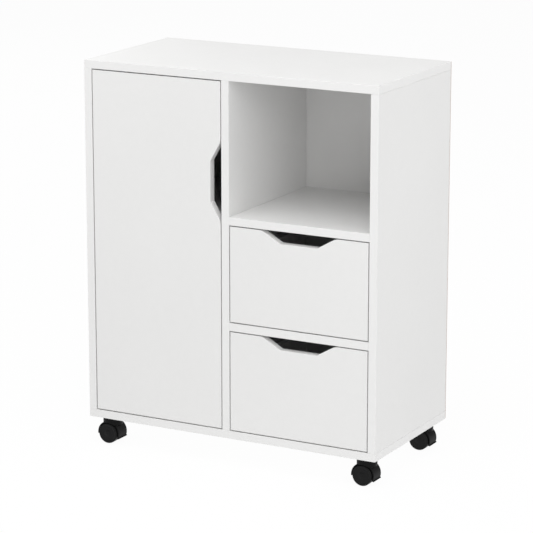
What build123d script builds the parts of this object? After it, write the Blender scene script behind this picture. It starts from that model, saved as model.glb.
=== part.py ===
from build123d import *

import math
import os

# Rolling pedestal cabinet: a flat-pack melamine box on four twin-wheel casters, with a tall
# inset door on the left, an open cubby at the top right and two inset drawers below it.
# Millimetres. X runs to the right seen from the front, the front faces -Y, Z is up. The origin
# is on the floor, under the centre of the box.

# ---------------------------------------------------------------- driving dimensions

# Box
WIDTH = 590.0
DEPTH = 300.0
BOX_HEIGHT = 670.0
BOARD = 15.0
BACK_THICKNESS = 3.0
BACK_INSET = 1.0            # back panel's edge inside the box's outer edge
EDGE_RADIUS = 0.6           # softened edge of every coated board
DOOR_BAY_WIDTH = 267.5
CUBBY_HEIGHT = 244.0
UPPER_DRAWER_BAY = 179.0
FRONT_GAP = 2.0             # gap round the door and the drawer fronts

# Finger notch in the door and in both drawer fronts
NOTCH_FLAT = 74.0
NOTCH_DEPTH = 20.5
NOTCH_SLOPE = 30.0          # degrees between the notch's slanted ends and the board's edge
NOTCH_MOUTH_RADIUS = 25.0
NOTCH_FLOOR_RADIUS = 8.0
DOOR_NOTCH_ABOVE_BOX_BASE = 472.0

# Inner shelf behind the door
SHELF_SETBACK = 30.0        # shelf's front edge behind the cabinet's front
SHELF_SIDE_PLAY = 1.0
PIN_RADIUS = 2.5
PIN_DEPTH = 8.0
PIN_REACH = 9.0             # how far a shelf pin stands out of the board
PIN_COLLAR_LENGTH = 1.2
PIN_COLLAR = 1.5            # collar's rim beyond the pin
PIN_FROM_FRONT = 65.0
PIN_FROM_BACK = 45.0

# Knock-down fittings of the box
FITTING_INSET = 50.0        # cam fittings in from the front and back edges
DOWEL_SPACING = 32.0        # dowel beside each cam fitting
DOWEL_RADIUS = 4.0
DOWEL_LENGTH = 28.0
DOWEL_CHAMFER = 0.8
DOWEL_IN_FACE = 10.0        # part of a dowel that sits in the face of the other board
CAM_RADIUS = 7.5
CAM_DEPTH = 12.5
CAM_REACH = 34.0            # from a board's end to its cam
CAM_SLOT_LENGTH = 1.2       # driver slot's length, in cam radii
CAM_SLOT_WIDTH = 1.4
CAM_SLOT_DEPTH = 1.2
DRAWER_CAM_RADIUS = 6.0
DRAWER_CAM_DEPTH = 9.5
DRAWER_CAM_REACH = 24.0
BOLT_RADIUS = 3.0
BOLT_THREAD_RADIUS = 2.5
BOLT_THREAD_LENGTH = 11.0
BOLT_BORE_RADIUS = 4.0
FITTING_PLAY = 0.08         # radial play of a fitting, dowel or screw in its hole

# Small screws and nails
SCREW_RADIUS = 1.75
SCREW_LENGTH = 12.0         # under the head
SCREW_HEAD_RADIUS = 3.5
SCREW_HEAD_HEIGHT = 2.0
SCREW_HEAD_CHAMFER = 0.7
CROSS_LENGTH = 3.85         # cross recess in the head
CROSS_WIDTH = 0.8
CROSS_DEPTH = 0.9
LONG_SCREW_RADIUS = 2.0
LONG_SCREW_LENGTH = 34.0
LONG_SCREW_HEAD_RADIUS = 3.6
LONG_SCREW_HEAD_HEIGHT = 3.0
NAIL_RADIUS = 0.8
NAIL_LENGTH = 20.0
NAIL_HEAD_RADIUS = 2.0
NAIL_HEAD_HEIGHT = 0.7
NAIL_SPACING = 125.0        # largest distance between two nails of the back panel
NAIL_FROM_UPRIGHT = 60.0    # first nail of the top and bottom beside the side panels
NAIL_FROM_END = 30.0        # first nail of an upright from its end

# Door hinges: concealed cups with one pivot, inside the door's thickness
PIVOT_FROM_EDGE = 9.0
PIVOT_FROM_FRONT = 6.0
HINGE_FROM_END = 90.0
HINGE_PIN_RADIUS = 1.25
HINGE_PIN_LENGTH = 17.0
HINGE_PLAY = 0.07
KNUCKLE_RADIUS = 2.4
CUP_RADIUS = 13.0
CUP_EDGE_DISTANCE = 3.0
CUP_FLOOR = 0.6
CUP_KNUCKLE_PLAY = 0.3
CUP_FLANGE = 1.2
CUP_FLANGE_LENGTH = 44.0
CUP_FLANGE_WIDTH = 14.0
CUP_FLANGE_ROUNDING = 6.0
CUP_RIM = 1.0               # flange's rim beyond the cup
CUP_SCREW_SPACING = 35.0
ARM_THICKNESS = 1.6
ARM_WIDTH = 7.0
ARM_CORNER_PLAY = 0.9       # room between the arm's bow and the door's corner
ARM_START_ANGLE = 18.0
ARM_POCKET_PLAY = 0.6
ARM_PLATE_HEIGHT = 44.0
PLATE_CORNER = 3.0          # corners of the arm's plate, the catch's flange and the strike plate
ARM_PLATE_END = 46.0        # rear end of the arm's plate behind the cabinet's front
ARM_SCREW_SETBACK = 37.0
ARM_SCREW_SPACING = 32.0

# Magnetic catch under the top panel
CATCH_FROM_PARTITION = 60.0
CATCH_WIDTH = 25.0
CATCH_DEPTH = 16.0
CATCH_HEIGHT = 14.0
CATCH_ROUNDING = 1.5
CATCH_FLANGE_LENGTH = 56.0
CATCH_FLANGE = 2.0
CATCH_SCREW_SPACING = 44.0
MAGNET_WIDTH = 20.0
MAGNET_HEIGHT = 9.0
MAGNET_PROUD = 1.0
STRIKE_LENGTH = 44.0
STRIKE_HEIGHT = 12.0
STRIKE_THICKNESS = 1.2
STRIKE_SCREW_SPACING = 34.0
TOUCH_GAP = 0.3             # between the magnet and its strike plate

# Drawers
DRAWER_BOARD = 12.0
DRAWER_BACK_ROOM = 32.0     # between the drawer box and the back panel
DRAWER_SIDE_HEIGHT = 110.0
DRAWER_RISE = 18.0          # drawer side above the floor of its bay
DRAWER_BOTTOM = 3.0
GROOVE_HEIGHT = 8.0         # drawer bottom above the lower edge of the sides
GROOVE_DEPTH = 4.0
GROOVE_PLAY = 0.1
GROOVE_END_PLAY = 0.5
DRAWER_KEPT_IN = 65.0       # part of the drawer box that stays in the cabinet
DRAWER_FITTING_HEIGHTS = (35.0, 85.0)

# Roller runners
RUNNER_SPACE = 12.5         # between a drawer side and the wall of its bay
SHEET = 1.2                 # thickness of the runner steel
RAIL_SETBACK = 2.0          # rail's front end behind the drawer front
RAIL_BACK_ROOM = 30.0       # between the rail and the back panel
RAIL_FLANGE = 10.2
RAIL_TOP_FLANGE = 7.0
RAIL_TOP_PLAY = 0.8
LIP_WIDTH = 8.6
LIP_ABOVE_SIDE = 14.0       # runner's lip above the lower edge of the drawer side
ROLLER_RADIUS = 10.0
ROLLER_WIDTH = 6.0
ROLLER_CHAMFER = 0.5
ROLLER_FROM_END = 12.0
ROLLER_WALL_GAP = 4.0       # rollers clear of the bay's wall and of the screw heads on it
ROLLING_GAP = 0.3
ROLLER_PASS_GAP = 0.6       # between a roller and the track it doesn't run on
STUD_RADIUS = 2.5
STUD_HEAD_RADIUS = 3.5
STUD_HEAD = 0.6
STUD_END_PLAY = 0.3
RIVET_HEAD_RADIUS = 3.0
RIVET_HEAD = 0.3
EAR_RADIUS = 5.5            # runner's ear round the rear roller's stud
ROLLER_BORE_PLAY = 0.07
STOP_HEIGHT = 2.5
RUNNER_FRONT_SCREW = 40.0   # from the drawer side's front end
RUNNER_REAR_SCREW = 50.0    # from the drawer side's rear end

# Casters
CASTER_HEIGHT = 53.0
CASTER_INSET_X = 31.0
CASTER_INSET_Y = 32.0
CASTER_TRAIL = 2.0          # axle to the left of the kingpin
PLATE_SIZE = 42.0
PLATE_THICKNESS = 2.0
PLATE_CORNER_RADIUS = 4.0
PLATE_HOLE_SPACING = 32.0
KINGPIN_RADIUS = 3.0
KINGPIN_LENGTH = 26.0
KINGPIN_CHAMFER = 0.8
SWIVEL_GAP = 0.6            # between the plate and the hood's swivel boss
BOSS_RADIUS = 18.5
BOSS_HEIGHT = 15.4
BOSS_CHAMFER = 0.6
WHEEL_RADIUS = 19.0
WHEEL_SPAN = 35.0           # over the outer faces of both wheels
WHEEL_GAP = 0.5             # between a wheel and the hood's web
WHEEL_RIM = 2.6
WHEEL_DISC = 3.0
WHEEL_ROUNDING = 1.2
WHEEL_DISH = 0.6
WHEEL_DISH_RADIUS = 14.5
HUB_RADIUS = 6.0
AXLE_RADIUS = 2.5
AXLE_LENGTH = 31.0
AXLE_PLAY = 0.07
AXLE_END_PLAY = 0.4
AXLE_SEAT_PLAY = 0.035      # axle held in the hood's web
WEB_THICKNESS = 8.8
WEB_DROP = 9.0              # hood's web below the axle
HOOD_WIDTH = 30.0
HOOD_GAP = 1.3              # between the tread and the hood
HOOD_THICKNESS = 2.2
HOOD_LEAD_ANGLE = 8.0       # degrees that the hood's left end reaches below the axle
HOOD_REAR_ANGLE = 24.0      # degrees that the hood's right end reaches below the axle
HOOD_LIP = 1.8              # thickness and reach of the flared lip along the right end

# ---------------------------------------------------------------- planes worked out from them

LEFT = -WIDTH / 2
RIGHT = WIDTH / 2
FRONT = -DEPTH / 2
BACK = DEPTH / 2
BOARD_BACK = BACK - BACK_THICKNESS
BASE = CASTER_HEIGHT
TOP = BASE + BOX_HEIGHT
FLOOR = BASE + BOARD
CEILING = TOP - BOARD
INNER_LEFT = LEFT + BOARD
INNER_RIGHT = RIGHT - BOARD
PARTITION_LEFT = INNER_LEFT + DOOR_BAY_WIDTH
PARTITION_RIGHT = PARTITION_LEFT + BOARD
CUBBY_FLOOR = CEILING - CUBBY_HEIGHT
SHELF_UNDER = CUBBY_FLOOR - BOARD
DIVIDER_TOP = SHELF_UNDER - UPPER_DRAWER_BAY
DIVIDER_UNDER = DIVIDER_TOP - BOARD

DOOR_LEFT = INNER_LEFT + FRONT_GAP
DOOR_RIGHT = PARTITION_LEFT - FRONT_GAP
DOOR_LOW = FLOOR + FRONT_GAP
DOOR_HIGH = CEILING - FRONT_GAP
DOOR_BACK = FRONT + BOARD

PIVOT_X = DOOR_LEFT + PIVOT_FROM_EDGE
PIVOT_Y = FRONT + PIVOT_FROM_FRONT
CUP_X = DOOR_LEFT + CUP_EDGE_DISTANCE + CUP_RADIUS
CUP_BOTTOM = PIVOT_Y - KNUCKLE_RADIUS - CUP_KNUCKLE_PLAY - CUP_FLOOR
HINGE_HEIGHTS = (DOOR_LOW + HINGE_FROM_END, DOOR_HIGH - HINGE_FROM_END)
# the bow of the hinge arm runs just outside the circle that the door's rear corner turns on
ARM_BOW = math.hypot(PIVOT_FROM_EDGE, BOARD - PIVOT_FROM_FRONT) + ARM_CORNER_PLAY

CATCH_X = PARTITION_LEFT - CATCH_FROM_PARTITION
CATCH_FRONT = DOOR_BACK + STRIKE_THICKNESS + TOUCH_GAP + MAGNET_PROUD
MAGNET_Z = CEILING - CATCH_FLANGE - CATCH_HEIGHT / 2

DRAWER_BACK = BOARD_BACK - DRAWER_BACK_ROOM
DRAWER_LENGTH = DRAWER_BACK - DOOR_BACK
DRAWER_TRAVEL = DRAWER_LENGTH - DRAWER_KEPT_IN
RAIL_FRONT = DOOR_BACK + RAIL_SETBACK
RAIL_REAR = BOARD_BACK - RAIL_BACK_ROOM
TRACK_HEIGHT = 2 * ROLLER_RADIUS + ROLLING_GAP + ROLLER_PASS_GAP
FRONT_ROLLER_Y = RAIL_FRONT + ROLLER_FROM_END
REAR_ROLLER_Y = DRAWER_BACK - ROLLER_FROM_END

AXLE_Z = WHEEL_RADIUS
PLATE_UNDER = BASE - PLATE_THICKNESS
BOSS_TOP = PLATE_UNDER - SWIVEL_GAP
HOOD_INNER = WHEEL_RADIUS + HOOD_GAP
HOOD_OUTER = HOOD_INNER + HOOD_THICKNESS
CASTERS = {
    "front_left": (LEFT + CASTER_INSET_X, FRONT + CASTER_INSET_Y),
    "front_right": (RIGHT - CASTER_INSET_X, FRONT + CASTER_INSET_Y),
    "rear_left": (LEFT + CASTER_INSET_X, BACK - CASTER_INSET_Y),
    "rear_right": (RIGHT - CASTER_INSET_X, BACK - CASTER_INSET_Y),
}

# node name -> the solids it holds, and the hole tools that other pieces ask of it
pieces = {}
holes = {}


# ---------------------------------------------------------------- helpers

def block(x0, x1, y0, y1, z0, z1):
    """A box between two corners."""
    size = (x1 - x0, y1 - y0, z1 - z0)
    return Pos(x0, y0, z0) * Box(*size, align=(Align.MIN, Align.MIN, Align.MIN))


def rod(start, direction, length, radius):
    """A cylinder that starts at a point and runs along a direction."""
    plane = Plane(origin=start, z_dir=direction)
    upright = Cylinder(radius, length, align=(Align.CENTER, Align.CENTER, Align.MIN))
    return plane.location * upright


def along(start, direction, distance):
    """The point at a distance from start along a direction."""
    return tuple(s + d * distance for s, d in zip(start, direction))


def soft_board(x0, x1, y0, y1, z0, z1):
    """A coated board with softened edges."""
    board = block(x0, x1, y0, y1, z0, z1)
    return fillet(board.edges(), EDGE_RADIUS)


def add(node, *solids):
    pieces.setdefault(node, []).extend(solids)


def cut(node, *tools):
    holes.setdefault(node, []).extend(tools)


def spread(start, end, spacing):
    """Evenly spaced places from start to end, at most a spacing apart."""
    count = math.ceil((end - start) / spacing)
    return [start + (end - start) * i / count for i in range(count + 1)]


# ---------------------------------------------------------------- fasteners

def cam_fitting(board_node, face_node, at, into, lock_face, thickness, size, nodes):
    """A cam lock in a board's face and the bolt that it pulls, screwed into the other board.

    at is the middle of the board's end, into runs from there into the board, and lock_face
    points out of the face that holds the cam.
    """
    radius, deep, reach = size
    centre = along(at, into, reach)
    face = along(centre, lock_face, thickness / 2)
    inward = tuple(-c for c in lock_face)
    recess = along(face, inward, FITTING_PLAY)
    lock = rod(recess, inward, deep - 2 * FITTING_PLAY, radius - FITTING_PLAY)
    tip = along(at, into, reach + BOLT_RADIUS)
    lock -= rod(tip, tuple(-c for c in into), reach, BOLT_BORE_RADIUS)
    slot = Plane(origin=recess, x_dir=into, z_dir=inward).location * Box(
        radius * CAM_SLOT_LENGTH, CAM_SLOT_WIDTH, 2 * CAM_SLOT_DEPTH,
        align=(Align.CENTER, Align.CENTER, Align.CENTER))
    lock -= slot
    bolt = rod(at, into, reach, BOLT_RADIUS)
    bolt += rod(along(at, into, -BOLT_THREAD_LENGTH), into, BOLT_THREAD_LENGTH,
                BOLT_THREAD_RADIUS)
    add(nodes[0], lock)
    add(nodes[1], bolt)
    cut(board_node, rod(face, inward, deep, radius))
    cut(board_node, rod(at, into, reach, BOLT_BORE_RADIUS))
    cut(face_node, rod(along(at, into, -BOLT_THREAD_LENGTH - FITTING_PLAY), into,
                       BOLT_THREAD_LENGTH + FITTING_PLAY, BOLT_THREAD_RADIUS + FITTING_PLAY))


def dowel(board_node, face_node, at, into):
    """A wooden dowel across the joint between a board's end and another board's face."""
    start = along(at, into, -DOWEL_IN_FACE)
    peg = rod(start, into, DOWEL_LENGTH, DOWEL_RADIUS)
    peg = chamfer(peg.edges(), DOWEL_CHAMFER)
    add("dowels", peg)
    bore = rod(along(start, into, -FITTING_PLAY), into, DOWEL_LENGTH + 2 * FITTING_PLAY,
               DOWEL_RADIUS + FITTING_PLAY)
    cut(board_node, bore)
    cut(face_node, bore)


def screw_shape(seat, inward, sink):
    """A pan-head screw with a cross recess. Its head stands on the seat, sink deep in it."""
    outward = tuple(-c for c in inward)
    base = along(seat, inward, sink)
    head = rod(base, outward, SCREW_HEAD_HEIGHT, SCREW_HEAD_RADIUS)
    crown = head.faces().sort_by(Axis(base, outward))[-1]
    head = chamfer(crown.edges(), SCREW_HEAD_CHAMFER)
    top = Plane(origin=along(base, outward, SCREW_HEAD_HEIGHT), z_dir=outward).location
    for turn in (0, 90):
        head -= top * Rot(0, 0, turn) * Box(CROSS_LENGTH, CROSS_WIDTH, 2 * CROSS_DEPTH)
    return head + rod(base, inward, SCREW_LENGTH, SCREW_RADIUS)


def small_screw(node, board_node, seat, inward, through=None):
    """A pan-head screw on a plate, with its hole in the board and in the plate."""
    add(node, screw_shape(seat, inward, 0))
    bore = rod(seat, inward, SCREW_LENGTH + FITTING_PLAY, SCREW_RADIUS + FITTING_PLAY)
    cut(board_node, bore)
    if through:
        cut(through, bore)


def long_screw(node, head_node, end_node, seat, inward):
    """A countersunk screw through one board's face into another board's end."""
    sink = Cone(LONG_SCREW_RADIUS, LONG_SCREW_HEAD_RADIUS, LONG_SCREW_HEAD_HEIGHT,
                align=(Align.CENTER, Align.CENTER, Align.MAX))
    outward = tuple(-c for c in inward)
    flush = along(seat, inward, FITTING_PLAY)
    head = Plane(origin=flush, z_dir=outward).location * sink
    add(node, head + rod(flush, inward, LONG_SCREW_LENGTH, LONG_SCREW_RADIUS))
    wide = Cone(LONG_SCREW_RADIUS + FITTING_PLAY, LONG_SCREW_HEAD_RADIUS + 2 * FITTING_PLAY,
                LONG_SCREW_HEAD_HEIGHT + FITTING_PLAY,
                align=(Align.CENTER, Align.CENTER, Align.MAX))
    shaft = rod(seat, inward, LONG_SCREW_LENGTH + 2 * FITTING_PLAY,
                LONG_SCREW_RADIUS + FITTING_PLAY)
    cut(head_node, Plane(origin=seat, z_dir=outward).location * wide, shaft)
    cut(end_node, shaft)


def nail(x, z, board_node):
    """A flat-headed nail through the back panel, flush with it."""
    seat = (x, BACK - FITTING_PLAY, z)
    head = rod(seat, (0, -1, 0), NAIL_HEAD_HEIGHT, NAIL_HEAD_RADIUS)
    add("back_panel_nails", head + rod(seat, (0, -1, 0), NAIL_LENGTH, NAIL_RADIUS))
    shaft = rod((x, BACK, z), (0, -1, 0), NAIL_LENGTH + FITTING_PLAY,
                NAIL_RADIUS + FITTING_PLAY)
    sink = rod((x, BACK, z), (0, -1, 0), NAIL_HEAD_HEIGHT + 2 * FITTING_PLAY,
               NAIL_HEAD_RADIUS + FITTING_PLAY)
    cut("back_panel", sink, shaft)
    cut(board_node, shaft)


# ---------------------------------------------------------------- the box

def carcass_boards():
    add("top_panel", soft_board(LEFT, RIGHT, FRONT, BOARD_BACK, CEILING, TOP))
    add("bottom_panel", soft_board(LEFT, RIGHT, FRONT, BOARD_BACK, BASE, FLOOR))
    add("left_side_panel", soft_board(LEFT, INNER_LEFT, FRONT, BOARD_BACK, FLOOR, CEILING))
    add("right_side_panel", soft_board(INNER_RIGHT, RIGHT, FRONT, BOARD_BACK, FLOOR, CEILING))
    add("centre_partition",
        soft_board(PARTITION_LEFT, PARTITION_RIGHT, FRONT, BOARD_BACK, FLOOR, CEILING))
    add("cubby_shelf",
        soft_board(PARTITION_RIGHT, INNER_RIGHT, FRONT, BOARD_BACK, SHELF_UNDER, CUBBY_FLOOR))
    add("drawer_divider",
        soft_board(PARTITION_RIGHT, INNER_RIGHT, FRONT, BOARD_BACK, DIVIDER_UNDER, DIVIDER_TOP))
    add("back_panel",
        block(LEFT + BACK_INSET, RIGHT - BACK_INSET, BOARD_BACK, BACK,
              BASE + BACK_INSET, TOP - BACK_INSET))


def carcass_joints():
    """Cams, bolts and dowels where a board's end meets another board's face."""
    size = (CAM_RADIUS, CAM_DEPTH, CAM_REACH)
    side_mid = BOARD / 2
    uprights = (
        ("left_side_panel", LEFT + side_mid, (1, 0, 0)),
        ("centre_partition", PARTITION_LEFT + side_mid, (-1, 0, 0)),
        ("right_side_panel", RIGHT - side_mid, (-1, 0, 0)),
    )
    ends = []
    for node, x, lock_face in uprights:
        ends.append((node, "top_panel", x, CEILING, (0, 0, -1), lock_face))
        ends.append((node, "bottom_panel", x, FLOOR, (0, 0, 1), lock_face))
    for node, under in (("cubby_shelf", SHELF_UNDER), ("drawer_divider", DIVIDER_UNDER)):
        z = under + side_mid
        ends.append((node, "centre_partition", PARTITION_RIGHT, z, (1, 0, 0), (0, 0, -1)))
        ends.append((node, "right_side_panel", INNER_RIGHT, z, (-1, 0, 0), (0, 0, -1)))
    for node, face_node, x, z, into, lock_face in ends:
        for y, inwards in ((FRONT + FITTING_INSET, 1), (BOARD_BACK - FITTING_INSET, -1)):
            cam_fitting(node, face_node, (x, y, z), into, lock_face, BOARD, size,
                        ("cam_locks", "cam_bolts"))
            dowel(node, face_node, (x, y + inwards * DOWEL_SPACING, z), into)


def back_nails():
    half = BOARD / 2
    # the nails keep clear of the corners, where the boards' ends meet
    low, high = FLOOR + NAIL_FROM_END, CEILING - NAIL_FROM_END
    near, far = INNER_LEFT + NAIL_FROM_UPRIGHT, INNER_RIGHT - NAIL_FROM_UPRIGHT
    for x, node in ((LEFT + half, "left_side_panel"), (RIGHT - half, "right_side_panel"),
                    (PARTITION_LEFT + half, "centre_partition")):
        for z in spread(low, high, NAIL_SPACING):
            nail(x, z, node)
    for z, node in ((BASE + half, "bottom_panel"), (TOP - half, "top_panel")):
        for x in spread(near, far, NAIL_SPACING):
            nail(x, z, node)


def inner_shelf():
    """The shelf behind the door, on four pins, level with the cubby's floor."""
    front = FRONT + SHELF_SETBACK
    back = BOARD_BACK - SHELF_SIDE_PLAY
    add("inner_shelf",
        soft_board(INNER_LEFT + SHELF_SIDE_PLAY, PARTITION_LEFT - SHELF_SIDE_PLAY,
                   front, back, SHELF_UNDER, CUBBY_FLOOR))
    z = SHELF_UNDER - PIN_RADIUS
    for x, inwards, node in ((INNER_LEFT, 1, "left_side_panel"),
                             (PARTITION_LEFT, -1, "centre_partition")):
        for y in (FRONT + PIN_FROM_FRONT, BOARD_BACK - PIN_FROM_BACK):
            start = (x - inwards * PIN_DEPTH, y, z)
            peg = rod(start, (inwards, 0, 0), PIN_DEPTH + PIN_REACH, PIN_RADIUS)
            peg += rod((x, y, z), (inwards, 0, 0), PIN_COLLAR_LENGTH, PIN_RADIUS + PIN_COLLAR)
            add("shelf_pins", peg & block(LEFT, RIGHT, FRONT, BACK, BASE, SHELF_UNDER))
            cut(node, rod(start, (inwards, 0, 0), PIN_DEPTH, PIN_RADIUS + FITTING_PLAY))


# ---------------------------------------------------------------- door

def notch_tool(length_axis, depth_axis, mouth, low, high):
    """The notch's cutter: mouth is the middle of its open side, on the board's edge, and the
    cutter runs through the board along Y from low to high. Its floor corners are rounded.
    """
    run = NOTCH_DEPTH / math.tan(math.radians(NOTCH_SLOPE))
    over = 1.0              # past the board's edge, so that the cut is clean
    past = over * run / NOTCH_DEPTH
    outline = []
    for s, d in ((-NOTCH_FLAT / 2 - run - past, -over), (NOTCH_FLAT / 2 + run + past, -over),
                 (NOTCH_FLAT / 2, NOTCH_DEPTH), (-NOTCH_FLAT / 2, NOTCH_DEPTH)):
        point = along(along(mouth, length_axis, s), depth_axis, d)
        outline.append((point[0], low, point[2]))
    face = make_face(Polyline(*outline, close=True))
    cutter = extrude(face, amount=high - low, dir=(0, 1, 0))
    floor_edges = cutter.edges().filter_by(Axis.Y)
    depth_line = Axis(mouth, depth_axis)
    return fillet(floor_edges.sort_by(depth_line)[-2:], NOTCH_FLOOR_RADIUS)


def notched_front(x0, x1, z0, z1, length_axis, depth_axis, mouth):
    """A door or drawer front with its finger notch and softened edges."""
    front = block(x0, x1, FRONT, FRONT + BOARD, z0, z1)
    front -= notch_tool(length_axis, depth_axis, mouth, FRONT, FRONT + BOARD)
    run = NOTCH_DEPTH / math.tan(math.radians(NOTCH_SLOPE))
    half = NOTCH_FLAT / 2 + run
    corners = []
    for side in (-1, 1):
        corner = Vector(*along(mouth, length_axis, side * half))
        near = front.edges().filter_by(Axis.Y).sort_by(
            lambda e: (Vector(e.center().X, corner.Y, e.center().Z) - corner).length)
        corners.append(near[0])
    front = fillet(corners, NOTCH_MOUTH_RADIUS)
    rims = front.faces().sort_by(Axis.Y)
    return fillet(rims[0].edges() + rims[-1].edges(), EDGE_RADIUS)


def door_panel():
    mouth = (DOOR_RIGHT, FRONT, BASE + DOOR_NOTCH_ABOVE_BOX_BASE)
    add("door_panel",
        notched_front(DOOR_LEFT, DOOR_RIGHT, DOOR_LOW, DOOR_HIGH, (0, 0, 1), (-1, 0, 0), mouth))


def hinge_cup(z):
    """The cup in the door: a die-cast disc with a pocket for the arm and a screwed flange."""
    cup = rod((CUP_X, CUP_BOTTOM, z), (0, 1, 0), DOOR_BACK - CUP_BOTTOM, CUP_RADIUS)
    flange = block(CUP_X - CUP_FLANGE_WIDTH / 2, CUP_X + CUP_FLANGE_WIDTH / 2,
                   DOOR_BACK, DOOR_BACK + CUP_FLANGE,
                   z - CUP_FLANGE_LENGTH / 2, z + CUP_FLANGE_LENGTH / 2)
    flange = fillet(flange.edges().filter_by(Axis.Y), CUP_FLANGE_ROUNDING)
    cup += flange
    cup += rod((CUP_X, DOOR_BACK, z), (0, 1, 0), CUP_FLANGE, CUP_RADIUS + CUP_RIM)
    half_width = ARM_WIDTH / 2 + ARM_POCKET_PLAY
    # at full swing the arm's root leans over the pocket's edge on the hinge side
    lean = math.radians(ARM_START_ANGLE)
    climb = DOOR_BACK + CUP_FLANGE - PIVOT_Y
    near = climb * math.tan(lean) + ARM_THICKNESS / 2 / math.cos(lean) + ARM_POCKET_PLAY
    far = (ARM_BOW + ARM_THICKNESS) * math.cos(lean) + ARM_POCKET_PLAY
    pocket = block(PIVOT_X - near, PIVOT_X + far, CUP_BOTTOM + CUP_FLOOR,
                   DOOR_BACK + CUP_FLANGE, z - half_width, z + half_width)
    cup -= pocket
    pin_start = (PIVOT_X, PIVOT_Y, z - HINGE_PIN_LENGTH / 2)
    cup -= rod(pin_start, (0, 0, 1), HINGE_PIN_LENGTH, HINGE_PIN_RADIUS + HINGE_PLAY)
    add("hinge_cups", cup)
    add("hinge_pins", rod(pin_start, (0, 0, 1), HINGE_PIN_LENGTH, HINGE_PIN_RADIUS))
    cut("door_panel",
        rod((CUP_X, CUP_BOTTOM, z), (0, 1, 0), DOOR_BACK - CUP_BOTTOM, CUP_RADIUS + FITTING_PLAY))
    for side in (-1, 1):
        seat = (CUP_X, DOOR_BACK + CUP_FLANGE, z + side * CUP_SCREW_SPACING / 2)
        small_screw("door_screws", "door_panel", seat, (0, -1, 0), "hinge_cups")


def hinge_arm(z):
    """The arm on the side panel. Its bow goes round the door's corner into the cup."""
    start = math.radians(ARM_START_ANGLE)
    low = z - ARM_WIDTH / 2
    middle = ARM_BOW + ARM_THICKNESS / 2
    pivot = Pos(PIVOT_X, PIVOT_Y, low)
    sketch = Circle(KNUCKLE_RADIUS)
    ray = Rot(0, 0, ARM_START_ANGLE) * Pos(middle / 2, 0) * Rectangle(middle, ARM_THICKNESS)
    bow = Circle(ARM_BOW + ARM_THICKNESS) - Circle(ARM_BOW)
    reach = 2 * ARM_BOW
    wedge = make_face(Polyline(
        (0, 0), (reach * math.cos(start), reach * math.sin(start)), (reach, reach),
        (0, reach), close=True))
    sketch += ray + (bow & wedge)
    wall = INNER_LEFT - PIVOT_X
    sketch += Pos(wall / 2, middle) * Rectangle(-wall, ARM_THICKNESS)
    arm = pivot * extrude(sketch, amount=ARM_WIDTH)
    plate = block(INNER_LEFT, INNER_LEFT + ARM_THICKNESS, PIVOT_Y + ARM_BOW,
                  FRONT + ARM_PLATE_END, z - ARM_PLATE_HEIGHT / 2, z + ARM_PLATE_HEIGHT / 2)
    arm += fillet(plate.edges().filter_by(Axis.X), PLATE_CORNER)
    arm -= rod((PIVOT_X, PIVOT_Y, low), (0, 0, 1), ARM_WIDTH, HINGE_PIN_RADIUS + HINGE_PLAY)
    add("hinge_arms", arm)
    for side in (-1, 1):
        seat = (INNER_LEFT + ARM_THICKNESS, FRONT + ARM_SCREW_SETBACK,
                z + side * ARM_SCREW_SPACING / 2)
        small_screw("mounting_screws", "left_side_panel", seat, (-1, 0, 0), "hinge_arms")


def magnetic_catch():
    """The catch under the top panel and its strike plate on the door."""
    back = CATCH_FRONT + CATCH_DEPTH
    body = block(CATCH_X - CATCH_WIDTH / 2, CATCH_X + CATCH_WIDTH / 2, CATCH_FRONT, back,
                 CEILING - CATCH_FLANGE - CATCH_HEIGHT, CEILING - CATCH_FLANGE)
    body = fillet(body.edges().filter_by(Axis.Y), CATCH_ROUNDING)
    flange = block(CATCH_X - CATCH_FLANGE_LENGTH / 2, CATCH_X + CATCH_FLANGE_LENGTH / 2,
                   CATCH_FRONT, back, CEILING - CATCH_FLANGE, CEILING)
    body += fillet(flange.edges().filter_by(Axis.Z), PLATE_CORNER)
    pocket_back = CATCH_FRONT + CATCH_DEPTH / 2
    play = GROOVE_PLAY
    body -= block(CATCH_X - MAGNET_WIDTH / 2 - play, CATCH_X + MAGNET_WIDTH / 2 + play,
                  CATCH_FRONT, pocket_back,
                  MAGNET_Z - MAGNET_HEIGHT / 2 - play, MAGNET_Z + MAGNET_HEIGHT / 2 + play)
    add("catch_housing", body)
    add("catch_magnet",
        block(CATCH_X - MAGNET_WIDTH / 2, CATCH_X + MAGNET_WIDTH / 2,
              CATCH_FRONT - MAGNET_PROUD, pocket_back,
              MAGNET_Z - MAGNET_HEIGHT / 2, MAGNET_Z + MAGNET_HEIGHT / 2))
    strike = block(CATCH_X - STRIKE_LENGTH / 2, CATCH_X + STRIKE_LENGTH / 2, DOOR_BACK,
                   DOOR_BACK + STRIKE_THICKNESS, MAGNET_Z - STRIKE_HEIGHT / 2,
                   MAGNET_Z + STRIKE_HEIGHT / 2)
    add("strike_plate", fillet(strike.edges().filter_by(Axis.Y), PLATE_CORNER))
    for side in (-1, 1):
        small_screw("mounting_screws", "top_panel",
                    (CATCH_X + side * CATCH_SCREW_SPACING / 2, (CATCH_FRONT + back) / 2,
                     CEILING - CATCH_FLANGE), (0, 0, 1), "catch_housing")
        small_screw("door_screws", "door_panel",
                    (CATCH_X + side * STRIKE_SCREW_SPACING / 2, DOOR_BACK + STRIKE_THICKNESS,
                     MAGNET_Z), (0, -1, 0), "strike_plate")


# ---------------------------------------------------------------- drawers

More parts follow.
